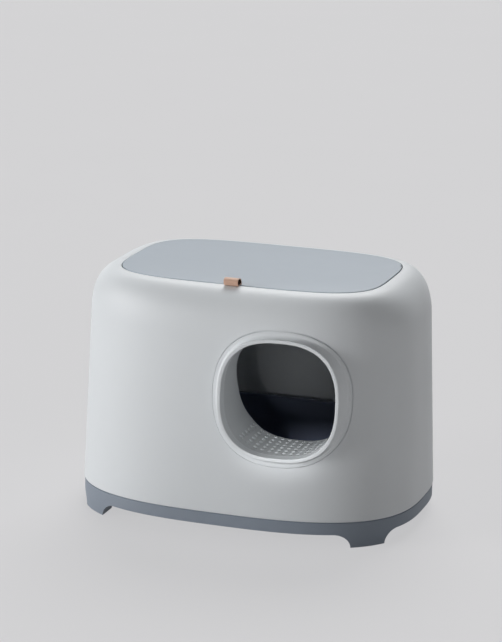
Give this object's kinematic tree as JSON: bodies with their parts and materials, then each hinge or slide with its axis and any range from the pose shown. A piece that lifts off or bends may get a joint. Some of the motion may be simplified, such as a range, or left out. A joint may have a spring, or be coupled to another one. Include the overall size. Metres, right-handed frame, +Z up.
{
  "type": "front entry litter box with a top lid",
  "caption": "Enclosed litter box with a blue-grey base, a pale hood with a round front entry and perforated tunnel, a hinged top lid with a leather pull tab, and a dark lift-out pan.",
  "frame": {"origin": "middle of the footprint, on the surface that the feet stand on", "axes": "X to the right along the front, Y from the entry side to the back, Z up"},
  "size_m": [0.55, 0.4043, 0.4012],
  "materials": {
    "base_plastic": "satin moulded",
    "foot_rubber": "matt",
    "pan_plastic": "satin moulded",
    "hood_plastic": "fine satin moulded",
    "tunnel_plastic": "satin moulded",
    "lid_plastic": "fine matt moulded",
    "tab_leather": "smooth tanned",
    "steel": "turned"
  },
  "bodies": {
    "base": {"base_tray": "base_plastic", "foot_pad_front_left": "foot_rubber", "foot_pad_front_right": "foot_rubber", "foot_pad_rear_left": "foot_rubber", "foot_pad_rear_right": "foot_rubber"},
    "pan": {"litter_pan": "pan_plastic"},
    "hood": {"hood_shell": "hood_plastic", "entry_collar": "hood_plastic", "entry_tunnel": "tunnel_plastic", "entry_screws": "steel", "hinge_pin_left": "steel", "hinge_pin_right": "steel"},
    "lid": {"top_lid": "lid_plastic", "pull_tab": "tab_leather", "tab_clamp": "lid_plastic", "tab_screws": "steel"}
  },
  "joints": [
    {"name": "hood_lift", "type": "slide", "parent": "base", "child": "hood", "axis": [0, 0, 1], "range_m": [0, 0.25]},
    {"name": "lid_hinge", "type": "hinge", "parent": "hood", "child": "lid", "pos_m": [0, 0.08, 0.3842], "axis": [-1, 0, 0], "range_deg": [0, 100]},
    {"name": "pan_lift", "type": "slide", "parent": "base", "child": "pan", "axis": [0, 0, 1], "range_m": [0, 0.1125]}
  ],
  "couplings": [
    {"joint": "pan_lift", "follows": "hood_lift", "ratio": 0.45}
  ]
}
